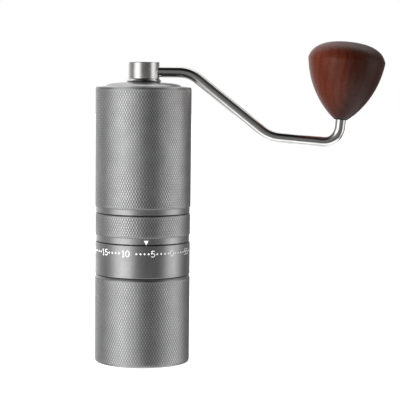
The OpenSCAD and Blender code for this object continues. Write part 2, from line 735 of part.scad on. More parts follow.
catch_cup();
cup_ring();
inner_sleeve();
neck_seal();
number_ring();
lock_ring();
magnets();
detent_ring();
detent_balls();
detent_springs();
adjust_ring();
glide_ring();
burr_carrier();
outer_burr();
burr_screws();
carrier_keys();
key_screws();
upper_body();
upper_spider();
upper_spider_clip();
lower_spider();
lower_spider_screws();
upper_outer_race();
upper_inner_race();
upper_cage();
upper_balls();
lower_outer_race();
lower_inner_race();
lower_cage();
lower_balls();
drive_shaft();
shaft_clip();
preload_spring();
inner_burr();
burr_washer();
burr_nut();
lid();
lid_bush();
lid_seal();
crank_hub();
hub_washer();
hub_clip();
hub_grub_screw();
crank_arm();
knob_washer();
knob_clip();
knob();
knob_bush();
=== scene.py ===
"""The finished look of the hand crank coffee grinder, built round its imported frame."""

import json
import math

import bmesh
import bpy
from mathutils import Matrix, Vector

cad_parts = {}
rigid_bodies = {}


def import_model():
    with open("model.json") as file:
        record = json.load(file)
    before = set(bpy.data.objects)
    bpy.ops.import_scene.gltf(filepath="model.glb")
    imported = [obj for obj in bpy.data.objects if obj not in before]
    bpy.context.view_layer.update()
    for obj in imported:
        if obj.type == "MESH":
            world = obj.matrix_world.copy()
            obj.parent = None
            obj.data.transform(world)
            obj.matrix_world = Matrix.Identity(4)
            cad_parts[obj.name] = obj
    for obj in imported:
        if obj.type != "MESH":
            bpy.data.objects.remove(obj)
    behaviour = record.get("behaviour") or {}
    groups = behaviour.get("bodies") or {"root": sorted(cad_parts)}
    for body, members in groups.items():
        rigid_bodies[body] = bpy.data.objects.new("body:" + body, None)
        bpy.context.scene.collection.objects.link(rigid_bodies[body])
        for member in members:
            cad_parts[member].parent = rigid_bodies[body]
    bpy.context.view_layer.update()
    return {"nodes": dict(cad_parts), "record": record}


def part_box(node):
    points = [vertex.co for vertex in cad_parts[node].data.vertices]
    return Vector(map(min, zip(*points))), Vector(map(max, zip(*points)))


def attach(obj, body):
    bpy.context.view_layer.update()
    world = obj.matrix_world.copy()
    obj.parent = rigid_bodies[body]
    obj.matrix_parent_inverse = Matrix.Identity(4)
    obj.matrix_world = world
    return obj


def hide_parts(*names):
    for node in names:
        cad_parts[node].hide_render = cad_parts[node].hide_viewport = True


bl_info = {
    "name": "Hand Crank Coffee Grinder",
    "version": (1, 0, 0),
    "blender": (4, 5, 0),
    "location": "View3D > Sidebar > Grinder",
    "description": "Builds the finished pieces of a hand crank coffee grinder round its frame",
    "category": "Add Mesh",
}

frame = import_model()
MM = 0.001
UP = Vector((0, 0, 1))
FRONT = -math.pi / 2
ON_AXIS = 1e-7

# Steps round the axis of the turned pieces
RING_STEPS, KNOB_STEPS, PIN_STEPS = 192, 128, 48

# Inside sizes that the boxes of the CAD nodes do not give
SEAT_GAP = 0.02 * MM
CLIP_GAP = 0.05 * MM
EDGE = 0.25 * MM
STRIP_EDGE = 0.12 * MM
ADJUSTER_BORE = 22.85 * MM
ADJUSTER_WALL = 1.95 * MM
ADJUSTER_LIP = 1.4 * MM
NUMBER_BORE = 22.82 * MM
CUP_WALL, CUP_FLOOR, CUP_CORNER = 2.2 * MM, 2.5 * MM, 4 * MM
CUP_POST = 0.8 * MM
LID_PLUG, LID_WALL = 23.6 * MM, 2.2 * MM
DOME_EDGE, CROWN_EDGE, CROWN_UNDER = 21 * MM, 17 * MM, 2.7 * MM
HUB_CLAMP = 10.8 * MM
PIN_GROOVE, PIN_CLIP, PIN_TIP = 24.25 * MM, 0.8 * MM, 26.5 * MM
KNOB_BORE, KNOB_DEPTH = 3.4 * MM, 28 * MM
PRELOAD_WIRE, PRELOAD_TURNS = 0.6 * MM, 5.0
DETENT_WIRE, DETENT_TURNS = 0.11 * MM, 6.0
DETENT_COIL, DETENT_CIRCLE = 0.75 * MM, 24.325 * MM


def span(node):
    """The outer radius, foot and top of a round CAD node that stands on the axis."""
    low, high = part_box(node)
    return (high.y - low.y) / 2, low.z, high.z


# ---------------------------------------------------------------- settings


def size(name, value, description):
    """A length property in metres."""
    return bpy.props.FloatProperty(
        name=name, description=description, default=value, min=0, unit="LENGTH", precision=5)


def count(name, value, description):
    """A whole number property."""
    return bpy.props.IntProperty(name=name, description=description, default=value, min=1)


def colour(name, value, description):
    """A colour property."""
    return bpy.props.FloatVectorProperty(
        name=name, description=description, default=value, subtype="COLOR", size=3, min=0, max=1)


def angle(name, degrees, description):
    """An angle property, its value given in degrees."""
    return bpy.props.FloatProperty(
        name=name, description=description, default=math.radians(degrees), subtype="ANGLE")


def share(name, value, description):
    """A property from 0 to 1."""
    return bpy.props.FloatProperty(
        name=name, description=description, default=value, min=0, max=1, subtype="FACTOR")


class GrinderShells(bpy.types.PropertyGroup):
    """Sizes of the knurled shells"""

    knurl_starts: count("Knurl starts", 112, "Grooves of one hand around the shell")
    knurl_pitch: size("Knurl pitch", 2.84 * MM, "Height of one diamond")
    band_pitch: size("Band pitch", 2.6 * MM, "Height of one diamond on the adjusting ring")
    knurl_depth: size("Knurl depth", 0.07 * MM, "Depth of the grooves")
    knurl_flat: share("Knurl flat", 0.42, "Width of a diamond's flat top as a share of the diamond")
    strip_step: size("Strip step", 0.45 * MM, "Depth of the plain strips below the knurl")
    foot_height: size("Foot strip", 3.2 * MM, "Height of the plain strip under the upper knurl")
    pointer_strip: size("Pointer strip", 3.6 * MM, "Height of the strip that carries the pointer")
    chamfer: size("Chamfer", 0.35 * MM, "Chamfer at the ends of the knurl")
    cup_chamfer: size("Cup chamfer", 1.1 * MM, "Height of the plain chamfer round the cup's mouth")


class GrinderCrank(bpy.types.PropertyGroup):
    """Sizes of the crank and its knob"""

    rod_radius: size("Rod radius", 3 * MM, "Radius of the crank rod")
    reach: size("Reach", 25.3 * MM, "From the axis to the first corner of the rod")
    slope: size("Slope", 56.4 * MM, "From the first corner to the second")
    low_run: size("Low run", 38.5 * MM, "From the second corner to the third")
    post: size("Post", 13.6 * MM, "From the third corner to the knob's foot")
    drop: angle("Drop", 38.4, "Angle of the slope below level")
    tilt: angle("Tilt", 5, "Angle of the low run below level")
    bend_1: size("First bend", 17.5 * MM, "Radius of the first bend")
    bend_2: size("Second bend", 20 * MM, "Radius of the second bend")
    bend_3: size("Third bend", 9 * MM, "Radius of the third bend")
    knob_height: size("Knob height", 42.6 * MM, "Height of the knob")
    knob_radius: size("Knob radius", 21.3 * MM, "Largest radius of the knob")
    knob_foot: size("Knob foot", 4.3 * MM, "Radius of the knob's foot")
    knob_wide: size("Widest height", 32.4 * MM, "Height of the knob's widest line")


class GrinderDial(bpy.types.PropertyGroup):
    """Figures, dots and pointer"""

    figure_height: size("Figure height", 3.5 * MM, "Height of the figures")
    figure_level: size("Figure level", 4.4 * MM, "From the ring's top edge to the figures' middle")
    dot_radius: size("Dot radius", 0.5 * MM, "Radius of the dots")
    pointer_width: size("Pointer width", 2.6 * MM, "Width of the pointer")
    relief: size("Relief", 0.045 * MM, "Thickness of the print")
    figure_turn: angle("Figure turn", 14.6, "Where the figure 5 stands, from the front to the crank")
    pointer_turn: angle("Pointer turn", 6.5, "Where the pointer stands, from the front to the crank")
    figure_step: angle("Figure step", 5.5, "Angle that one figure or blank takes up")


class GrinderFinish(bpy.types.PropertyGroup):
    """Colours of the main finishes"""

    anodised: colour("Anodised", (0.5, 0.5, 0.505), "Grey anodised aluminium")
    plain: colour("Plain ring", (0.46, 0.46, 0.465), "Grey anodised aluminium, fine turned")
    steel: colour("Steel", (0.78, 0.77, 0.76), "Polished steel")
    # The knob's lit flank and shaded middle: the wood's own colour with painted light and shade in it
    wood_light: colour("Light wood", (0.098, 0.0176, 0.006), "Early wood of the knob")
    wood_dark: colour("Dark wood", (0.036, 0.0075, 0.0028), "Late wood of the knob")
    ink: colour("Print", (0.95, 0.95, 0.95), "Print on the dial")


# ---------------------------------------------------------------- materials


def value_node(nodes, links, kind, inputs=(), **settings):
    """A shader node with its settings, its inputs set to values or linked to sockets."""
    made = nodes.new(kind)
    for key, setting in settings.items():
        setattr(made, key, setting)
    for key, what in dict(inputs).items():
        if isinstance(what, bpy.types.NodeSocket):
            links.new(what, made.inputs[key])
        else:
            made.inputs[key].default_value = what
    return made


def colour_ramp(nodes, links, factor, stops):
    """Colours along a factor, from stops of a position and a colour."""
    made = value_node(nodes, links, "ShaderNodeValToRGB", {"Fac": factor})
    elements = made.color_ramp.elements
    while len(elements) < len(stops):
        elements.new(0.5)
    for element, (position, tint) in zip(elements, stops):
        element.position = position
        element.color = (*tint, 1)
    return made.outputs["Color"]


class Finish:
    """A material whose pattern reads Object coordinates, in millimetres."""

    def __init__(self, name, base, metallic, roughness):
        self.material = bpy.data.materials.get(name) or bpy.data.materials.new(name)
        self.material.use_nodes = True
        self.nodes = self.material.node_tree.nodes
        self.links = self.material.node_tree.links
        self.shader = self.nodes["Principled BSDF"]
        self.shader.inputs["Base Color"].default_value = (*base, 1)
        self.shader.inputs["Metallic"].default_value = metallic
        self.shader.inputs["Roughness"].default_value = roughness
        self.material.diffuse_color = (*base, 1)
        place = self.nodes.new("ShaderNodeTexCoord")
        self.place = self.add("ShaderNodeMapping", {"Vector": place.outputs["Object"],
                                                    "Scale": (1 / MM,) * 3}).outputs["Vector"]
        self.height = None

    def add(self, kind, inputs=(), **settings):
        return value_node(self.nodes, self.links, kind, inputs, **settings)

    def noise(self, scale, detail=2.0, vector=None, stretch=None):
        """Noise of about scale lumps a millimetre, stretched along an axis where asked."""
        vector = vector or self.place
        if stretch:
            vector = self.add("ShaderNodeMapping", {"Vector": vector, "Scale": stretch}).outputs["Vector"]
        made = self.add("ShaderNodeTexNoise", {"Vector": vector, "Scale": scale, "Detail": detail})
        return made.outputs["Fac"]

    def turned(self, pitch):
        """Noise that changes only along Z, as a lathe tool leaves it."""
        axis = self.add("ShaderNodeSeparateXYZ", {"Vector": self.place}).outputs["Z"]
        line = self.add("ShaderNodeCombineXYZ", {"Z": axis}).outputs["Vector"]
        return self.noise(1 / pitch, 3.0, vector=line)

    def ranged(self, factor, low, high):
        """The factor spread from low to high."""
        return self.add("ShaderNodeMapRange", {"Value": factor, "From Min": 0.3, "From Max": 0.7,
                                               "To Min": low, "To Max": high}).outputs["Result"]

    def ramp(self, factor, stops):
        return colour_ramp(self.nodes, self.links, factor, stops)

    def tint(self, socket):
        self.links.new(socket, self.shader.inputs["Base Color"])

    def gloss(self, socket):
        self.links.new(socket, self.shader.inputs["Roughness"])

    def bump(self, factor, strength, depth):
        """Adds relief of a depth in millimetres."""
        made = self.add("ShaderNodeBump", {"Height": factor, "Strength": strength, "Distance": depth * MM})
        if self.height:
            self.links.new(self.height, made.inputs["Normal"])
        self.height = made.outputs["Normal"]
        self.links.new(self.height, self.shader.inputs["Normal"])


# Where the knob's colour turns, across world X as the camera sees it, from the lit reddish left flank to
# the dark middle that faces the front: painted light and shade
PAINTED_SHADE_SPAN = (-8.0, 26.0)


def darker(tint, amount):
    return tuple(channel * amount for channel in tint)


def anodised(name, base, roughness, pitch=None):
    """Bead blasted and anodised aluminium, with turning lines where a pitch is given."""
    made = Finish(name, base, 1.0, roughness)
    cloud = made.noise(0.12, 3.0)
    made.tint(made.ramp(cloud, [(0.25, darker(base, 0.9)), (0.75, darker(base, 1.08))]))
    made.gloss(made.ranged(made.noise(0.5, 4.0), roughness - 0.04, roughness + 0.05))
    made.bump(made.noise(9.0, 2.0), 0.25, 0.006)
    if pitch:
        made.bump(made.turned(pitch), 0.35, 0.006)
    return made.material


def knurled(name, base, roughness):
    """Anodised aluminium with painted shade: darker in the grooves of the knurl and lighter on its crests,
    standing in for the shade in the valleys.
    """
    material = anodised(name, base, roughness)
    nodes, links = material.node_tree.nodes, material.node_tree.links
    shader = nodes["Principled BSDF"]
    plain = shader.inputs["Base Color"].links[0].from_socket
    crest = value_node(nodes, links, "ShaderNodeAttribute", attribute_name="crest")
    # Painted shade: the base colour is scaled to 0.3 at the bottom of the grooves and up to 1.25 on the
    # crests
    shade = value_node(nodes, links, "ShaderNodeMapRange", {
        "Value": crest.outputs["Fac"], "From Max": 0.6, "To Min": 0.3, "To Max": 1.25})
    mixed = value_node(nodes, links, "ShaderNodeVectorMath", {0: plain, "Scale": shade.outputs["Result"]},
                       operation="SCALE")
    links.new(mixed.outputs["Vector"], shader.inputs["Base Color"])
    return material


def machined(name, base, roughness, pitch=0.12, depth=0.004, wear=0.06):
    """Turned or ground metal with tool lines and slight smears."""
    made = Finish(name, base, 1.0, roughness)
    smear = made.noise(0.25, 4.0)
    made.tint(made.ramp(smear, [(0.3, darker(base, 0.88)), (0.7, darker(base, 1.05))]))
    made.gloss(made.ranged(smear, max(roughness - wear, 0.03), roughness + wear))
    made.bump(made.turned(pitch), 0.3, depth)
    return made.material


def moulded(name, base, roughness, grain=4.0):
    """Rubber or plastic with a fine grain."""
    made = Finish(name, base, 0.0, roughness)
    made.tint(made.ramp(made.noise(0.6, 3.0), [(0.3, darker(base, 0.75)), (0.7, darker(base, 1.2))]))
    made.bump(made.noise(grain, 2.0), 0.3, 0.02)
    return made.material


def walnut(settings):
    """Turned and oiled wood: grain along the knob, with painted light and shade across it: a lighter
    reddish flank on the left where the key lamp falls, a dark middle facing the front and a little lighter
    right side.
    """
    light, dark = tuple(settings.wood_light), tuple(settings.wood_dark)
    made = Finish("walnut", light, 0.0, 0.42)
    made.shader.inputs["Specular IOR Level"].default_value = 0.24
    lean = made.add("ShaderNodeMapping", {"Vector": made.place, "Rotation": (0.05, -0.12, 0.0),
                                          "Location": (-96.0, 26.0, 0.0)}).outputs["Vector"]
    across = made.add("ShaderNodeSeparateXYZ", {"Vector": lean}).outputs["X"]
    wander = made.noise(0.07, 2.0, vector=lean, stretch=(1.0, 1.0, 0.35))
    painted_shade_line = made.add("ShaderNodeMath", {0: wander, 1: 22.0, 2: across}, operation="MULTIPLY_ADD")
    reach = made.add("ShaderNodeMapRange", {"Value": painted_shade_line.outputs["Value"], "From Min": PAINTED_SHADE_SPAN[0],
                                            "From Max": PAINTED_SHADE_SPAN[1]}).outputs["Result"]
    # Painted light and shade over the wood's own colour: light on the left, dark across the middle, a
    # little lighter on the right
    tone = made.ramp(reach, [(0.0, light), (0.3, darker(light, 0.7)), (0.5, dark), (0.72, dark),
                             (1.0, darker(light, 0.68))])
    sway = made.add("ShaderNodeMapping", {"Vector": lean, "Scale": (1.0, 1.0, 0.1)}).outputs["Vector"]
    rings = made.add("ShaderNodeTexWave", {"Vector": sway, "Scale": 0.08, "Distortion": 6.0, "Detail": 3.0,
                                           "Detail Scale": 0.5}, wave_type="RINGS", rings_direction="Z")
    bands = made.ramp(rings.outputs["Fac"], [(0.0, (0.72, 0.66, 0.64)), (0.35, (0.95, 0.93, 0.92)),
                                             (1.0, (1.0, 1.0, 1.0))])
    fibre = made.noise(1.3, 5.0, vector=lean, stretch=(1.0, 1.0, 0.04))
    streak = made.ramp(fibre, [(0.35, (0.62, 0.56, 0.54)), (0.62, (1.0, 1.0, 1.0))])
    pores = made.noise(4.5, 2.0, vector=lean, stretch=(1.0, 1.0, 0.07))
    speck = made.ramp(pores, [(0.30, (0.4, 0.35, 0.32)), (0.42, (1.0, 1.0, 1.0))])
    for layer, strength in ((bands, 0.85), (streak, 0.75), (speck, 0.45)):
        tone = made.add("ShaderNodeMix", {6: tone, 7: layer, 0: strength}, data_type="RGBA",
                        blend_type="MULTIPLY").outputs[2]
    made.tint(tone)
    made.gloss(made.ranged(fibre, 0.42, 0.32))
    made.bump(pores, 0.3, 0.05)
    return made.material


def build_finishes(settings):
    """Every material, by the name of its slot in the record."""
    steel = tuple(settings.steel)
    return {
        "anodised": anodised("anodised", tuple(settings.anodised), 0.36),
        "anodised_knurl": knurled("anodised_knurl", tuple(settings.anodised), 0.34),
        "anodised_plain": anodised("anodised_plain", tuple(settings.plain), 0.34, pitch=0.16),
        "dark_anodised": anodised("dark_anodised", (0.035, 0.035, 0.038), 0.4, pitch=0.2),
        "cast_alloy": anodised("cast_alloy", (0.52, 0.52, 0.53), 0.42),
        "polished_steel": machined("polished_steel", steel, 0.07, pitch=0.1, depth=0.0012, wear=0.03),
        "satin_steel": machined("satin_steel", steel, 0.24, pitch=0.1, depth=0.002, wear=0.03),
        "bearing_steel": machined("bearing_steel", (0.66, 0.66, 0.67), 0.12, depth=0.001, wear=0.03),
        "burr_steel": machined("burr_steel", (0.32, 0.31, 0.3), 0.3, pitch=0.3, depth=0.01),
        "spring_steel": machined("spring_steel", (0.12, 0.12, 0.125), 0.32, pitch=0.2),
        "turned_steel": machined("turned_steel", (0.6, 0.6, 0.6), 0.24, pitch=0.18, depth=0.008),
        "brass": machined("brass", (0.68, 0.47, 0.2), 0.22, pitch=0.15, depth=0.006),
        "walnut": walnut(settings),
        "rubber": moulded("rubber", (0.014, 0.014, 0.014), 0.55),
        "black_plastic": moulded("black_plastic", (0.012, 0.012, 0.012), 0.42, grain=7.0),
    }


# ---------------------------------------------------------------- mesh tools


def piece(name, mesh, body, slot, *nodes):
    """A finished piece that rides on a body and stands for CAD nodes."""
    mesh.name = name
    made = bpy.data.objects.new(name, mesh)
    bpy.context.scene.collection.objects.link(made)
    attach(made, body)
    if nodes:
        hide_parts(*nodes)
    return made


def finish_mesh(bm, material, sharp=35.0):
    """Turns a bmesh into a mesh with one material and crisp corners."""
    mesh = bpy.data.meshes.new("piece")
    bm.to_mesh(mesh)
    bm.free()
    mesh.materials.append(bpy.data.materials[material])
    mesh.shade_smooth()
    mesh.set_sharp_from_angle(angle=math.radians(sharp))
    return mesh


def ring(bm, radius, z, count, half_step=0.0):
    """One ring of vertices round the axis, or a single one on it."""
    if radius < ON_AXIS:
        return [bm.verts.new((0, 0, z))]
    turns = [2 * math.pi / count * (k + half_step) for k in range(count)]
    return [bm.verts.new((radius * math.cos(turn), radius * math.sin(turn), z)) for turn in turns]


def bridge(bm, low, high):
    """Faces between two rings, facing outwards when the profile runs upwards on the outside."""
    total = max(len(low), len(high))
    for k in range(total):
        n = (k + 1) % total
        if len(low) == 1:
            bm.faces.new((low[0], high[n], high[k]))
        elif len(high) == 1:
            bm.faces.new((low[k], low[n], high[0]))
        else:
            bm.faces.new((low[k], low[n], high[n], high[k]))


def rounded(profile, bevels):
    """Rounds corners of a profile: bevels maps a point's index to its radius."""
    steps, most = 5, 0.49
    made = []
    total = len(profile)
    for index, point in enumerate(profile):
        radius = bevels.get(index)
        if not radius:
            made.append(point)
            continue
        here = Vector(point)
        before = Vector(profile[index - 1]) - here
        after = Vector(profile[(index + 1) % total]) - here
        half = before.angle(after) / 2
        cut = min(radius / math.tan(half), before.length * most, after.length * most)
        start = here + before.normalized() * cut
        end = here + after.normalized() * cut
        for i in range(steps + 1):
            t = i / steps
            made.append(tuple(start * (1 - t) ** 2 + here * (2 * t * (1 - t)) + end * t ** 2))
    return made


def lathe(bm, profile, count, closed):
    """Turns a profile of (radius, height) points, listed anticlockwise in the right half plane."""
    rings = [ring(bm, r, z, count) for r, z in profile]
    pairs = list(zip(rings, rings[1:]))
    if closed:
        pairs.append((rings[-1], rings[0]))
    for low, high in pairs:
        if len(low) > 1 or len(high) > 1:
            bridge(bm, low, high)


def turned_piece(name, profile, steps, finish, body, node, sharp=35.0, stand=None):
    """A piece turned from a profile, closed round the axis or stood at a foot along its own axis."""
    bm = bmesh.new()
    lathe(bm, profile, steps, closed=not stand)
    if stand:
        foot, axis = stand
        bm.transform(Matrix.Translation(foot) @ UP.rotation_difference(axis).to_matrix().to_4x4())
    return piece(name, finish_mesh(bm, finish, sharp), body, finish, node)


def bezier(a, b, c, d, steps):
    """Points of a cubic curve."""
    points = []
    for i in range(steps + 1):
        t = i / steps
        s = 1 - t
        points.append(tuple(s ** 3 * p + 3 * s * s * t * q + 3 * s * t * t * u + t ** 3 * v
                            for p, q, u, v in zip(a, b, c, d)))
    return points


def copy_of_node(node, material):
    """A CAD node's mesh with its triangles joined, so that round faces look round."""
    bm = bmesh.new()
    bm.from_mesh(frame["nodes"][node].data)
    bmesh.ops.remove_doubles(bm, verts=bm.verts, dist=1e-7)
    bmesh.ops.dissolve_degenerate(bm, edges=bm.edges, dist=1e-8)
    for layer in list(bm.loops.layers.uv):
        bm.loops.layers.uv.remove(layer)
    return finish_mesh(bm, material, sharp=28.0)


# ---------------------------------------------------------------- geometry nodes


class Tree:
    """A Geometry Nodes tree under construction."""

    def __init__(self, name, inputs):
        self.tree = bpy.data.node_groups.new(name, "GeometryNodeTree")
        face = self.tree.interface
        face.new_socket(name="Geometry", in_out="INPUT", socket_type="NodeSocketGeometry")
        self.ids = {}
        for label, kind in inputs:
            made = face.new_socket(name=label, in_out="INPUT", socket_type="NodeSocket" + kind)
            self.ids[label] = made.identifier
        face.new_socket(name="Geometry", in_out="OUTPUT", socket_type="NodeSocketGeometry")
        self.entry = self.tree.nodes.new("NodeGroupInput")
        self.exit = self.tree.nodes.new("NodeGroupOutput")

    def add(self, kind, inputs=(), **settings):
        return value_node(self.tree.nodes, self.tree.links, kind, inputs, **settings)

    def given(self, label):
        return self.entry.outputs[label]

    def close(self, geometry):
        """Ends the tree with real geometry and the material."""
        real = self.add("GeometryNodeRealizeInstances", {"Geometry": geometry})
        painted = self.add("GeometryNodeSetMaterial",
                           {"Geometry": real.outputs["Geometry"], "Material": self.given("Material")})
        self.tree.links.new(painted.outputs["Geometry"], self.exit.inputs[0])
        return self

    def run(self, source, values):
        """The plain mesh that the tree makes of a source mesh or curve."""
        host = bpy.data.objects.new("host", source)
        bpy.context.scene.collection.objects.link(host)
        modifier = host.modifiers.new("Shape", "NODES")
        modifier.node_group = self.tree
        for label, what in values.items():
            modifier[self.ids[label]] = what
        depsgraph = bpy.context.evaluated_depsgraph_get()
        mesh = bpy.data.meshes.new_from_object(host.evaluated_get(depsgraph), depsgraph=depsgraph)
        bpy.data.objects.remove(host)
        return mesh


def knurl_tree():
    """Raises a flat-topped diamond on each marked face."""
    made = Tree("Knurl", [("Depth", "Float"), ("Flat", "Float"), ("Material", "Material")])
    marked = made.add("GeometryNodeInputNamedAttribute", {"Name": "knurl"}, data_type="BOOLEAN")
    raised = made.add("GeometryNodeExtrudeMesh", {
        "Mesh": made.given("Geometry"), "Selection": marked.outputs["Attribute"],
        "Offset Scale": made.given("Depth"), "Individual": True})
    narrowed = made.add("GeometryNodeScaleElements", {
        "Geometry": raised.outputs["Mesh"], "Selection": raised.outputs["Top"],
        "Scale": made.given("Flat")})
    # Marks the crest points; the knurl material darkens away from them, as painted shade in the grooves
    graded = made.add("GeometryNodeStoreNamedAttribute", {
        "Geometry": narrowed.outputs["Geometry"], "Selection": raised.outputs["Top"], "Name": "crest",
        "Value": 1.0}, data_type="FLOAT", domain="POINT")
    return made.close(graded.outputs["Geometry"])


def stamp_tree():
    """Sets a small round dot on each point, turned to face away from the axis."""
    made = Tree("Dots", [("Radius", "Float"), ("Relief", "Float"), ("Material", "Material")])
    turn = made.add("GeometryNodeInputNamedAttribute", {"Name": "turn"}, data_type="FLOAT")
    tip = made.add("ShaderNodeCombineXYZ", {"X": math.pi / 2, "Z": turn.outputs["Attribute"]})
    dot = made.add("GeometryNodeMeshCylinder", {
        "Vertices": 20, "Radius": made.given("Radius"), "Depth": made.given("Relief")})
    placed = made.add("GeometryNodeInstanceOnPoints", {
        "Points": made.given("Geometry"), "Instance": dot.outputs["Mesh"],
        "Rotation": tip.outputs["Vector"]})
    return made.close(placed.outputs["Instances"])


def rod_tree():
    """Rounds the corners of a line and gives it a round section."""
    made = Tree("Rod", [("Radius", "Float"), ("Material", "Material")])
    bend = made.add("GeometryNodeInputNamedAttribute", {"Name": "bend"}, data_type="FLOAT")
    line = made.add("GeometryNodeMeshToCurve", {"Mesh": made.given("Geometry")})
    smooth = made.add("GeometryNodeFilletCurve", {
        "Curve": line.outputs["Curve"], "Radius": bend.outputs["Attribute"], "Count": 28}, mode="POLY")
    section = made.add("GeometryNodeCurvePrimitiveCircle", {
        "Resolution": 48, "Radius": made.given("Radius")})
    swept = made.add("GeometryNodeCurveToMesh", {
        "Curve": smooth.outputs["Curve"], "Profile Curve": section.outputs["Curve"], "Fill Caps": True})
    return made.close(swept.outputs["Mesh"])


def coil_tree():
    """Sets a wound coil on each point."""
    made = Tree("Coil", [("Radius", "Float"), ("Height", "Float"), ("Turns", "Float"),
                         ("Wire", "Float"), ("Material", "Material")])
    line = made.add("GeometryNodeCurveSpiral", {
        "Resolution": 40, "Rotations": made.given("Turns"), "Start Radius": made.given("Radius"),
        "End Radius": made.given("Radius"), "Height": made.given("Height")})
    section = made.add("GeometryNodeCurvePrimitiveCircle", {
        "Resolution": 12, "Radius": made.given("Wire")})
    swept = made.add("GeometryNodeCurveToMesh", {
        "Curve": line.outputs["Curve"], "Profile Curve": section.outputs["Curve"], "Fill Caps": True})
    placed = made.add("GeometryNodeInstanceOnPoints", {
        "Points": made.given("Geometry"), "Instance": swept.outputs["Mesh"]})
    return made.close(placed.outputs["Instances"])


# ---------------------------------------------------------------- knurled shells


def knurled_shell(name, body, node, outside, inside, pitch, settings):
    """A turned shell: a knurled band between the ends of the outside, then the rest of the profile.

    outside is (radius, foot, top) of the band, and inside is the rest of the profile from
    above the band, round the bore, to below the band.
    """
    radius, foot, top = outside
    starts = settings.knurl_starts
    base = radius - settings.knurl_depth
    rows = 2 * round((top - foot) / pitch)
    bm = bmesh.new()
    marked = bm.faces.layers.bool.new("knurl")
    lattice = [ring(bm, base, foot + (top - foot) * j / rows, starts, (j % 2) / 2) for j in range(rows + 1)]
    for j, row in enumerate(lattice):
        for k in range(starts):
            n = (k + 1) % starts
            peak = k if j % 2 == 0 else n
            corners = [row[k]]
            if j > 0:
                corners.append(lattice[j - 1][peak])
            corners.append(row[n])
            if j < rows:
                corners.append(lattice[j + 1][peak])
            bm.faces.new(corners)[marked] = True
    rings = [lattice[-1]] + [ring(bm, r, z, starts) for r, z in inside] + [lattice[0]]
    for low, high in zip(rings, rings[1:]):
        bridge(bm, low, high)
    source = bpy.data.meshes.new(name)
    bm.to_mesh(source)
    bm.free()
    mesh = knurl_tree().run(source, {"Depth": settings.knurl_depth, "Flat": settings.knurl_flat,
                                     "Material": bpy.data.materials["anodised"]})
    flags = mesh.attributes["knurl"].data
    mesh.shade_smooth()
    mesh.set_sharp_from_angle(angle=math.radians(25))
    for face, flag in zip(mesh.polygons, flags):
        face.use_smooth = not flag.value
    mesh.materials.append(bpy.data.materials["anodised_knurl"])
    crest = [0.0] * len(mesh.vertices)
    mesh.attributes["crest"].data.foreach_get("value", crest)
    # Faces of the knurl take the material with painted shade in its grooves
    for face in mesh.polygons:
        face.material_index = int(any(crest[corner] > 0.5 for corner in face.vertices))
    return piece(name, mesh, body, "anodised", node)


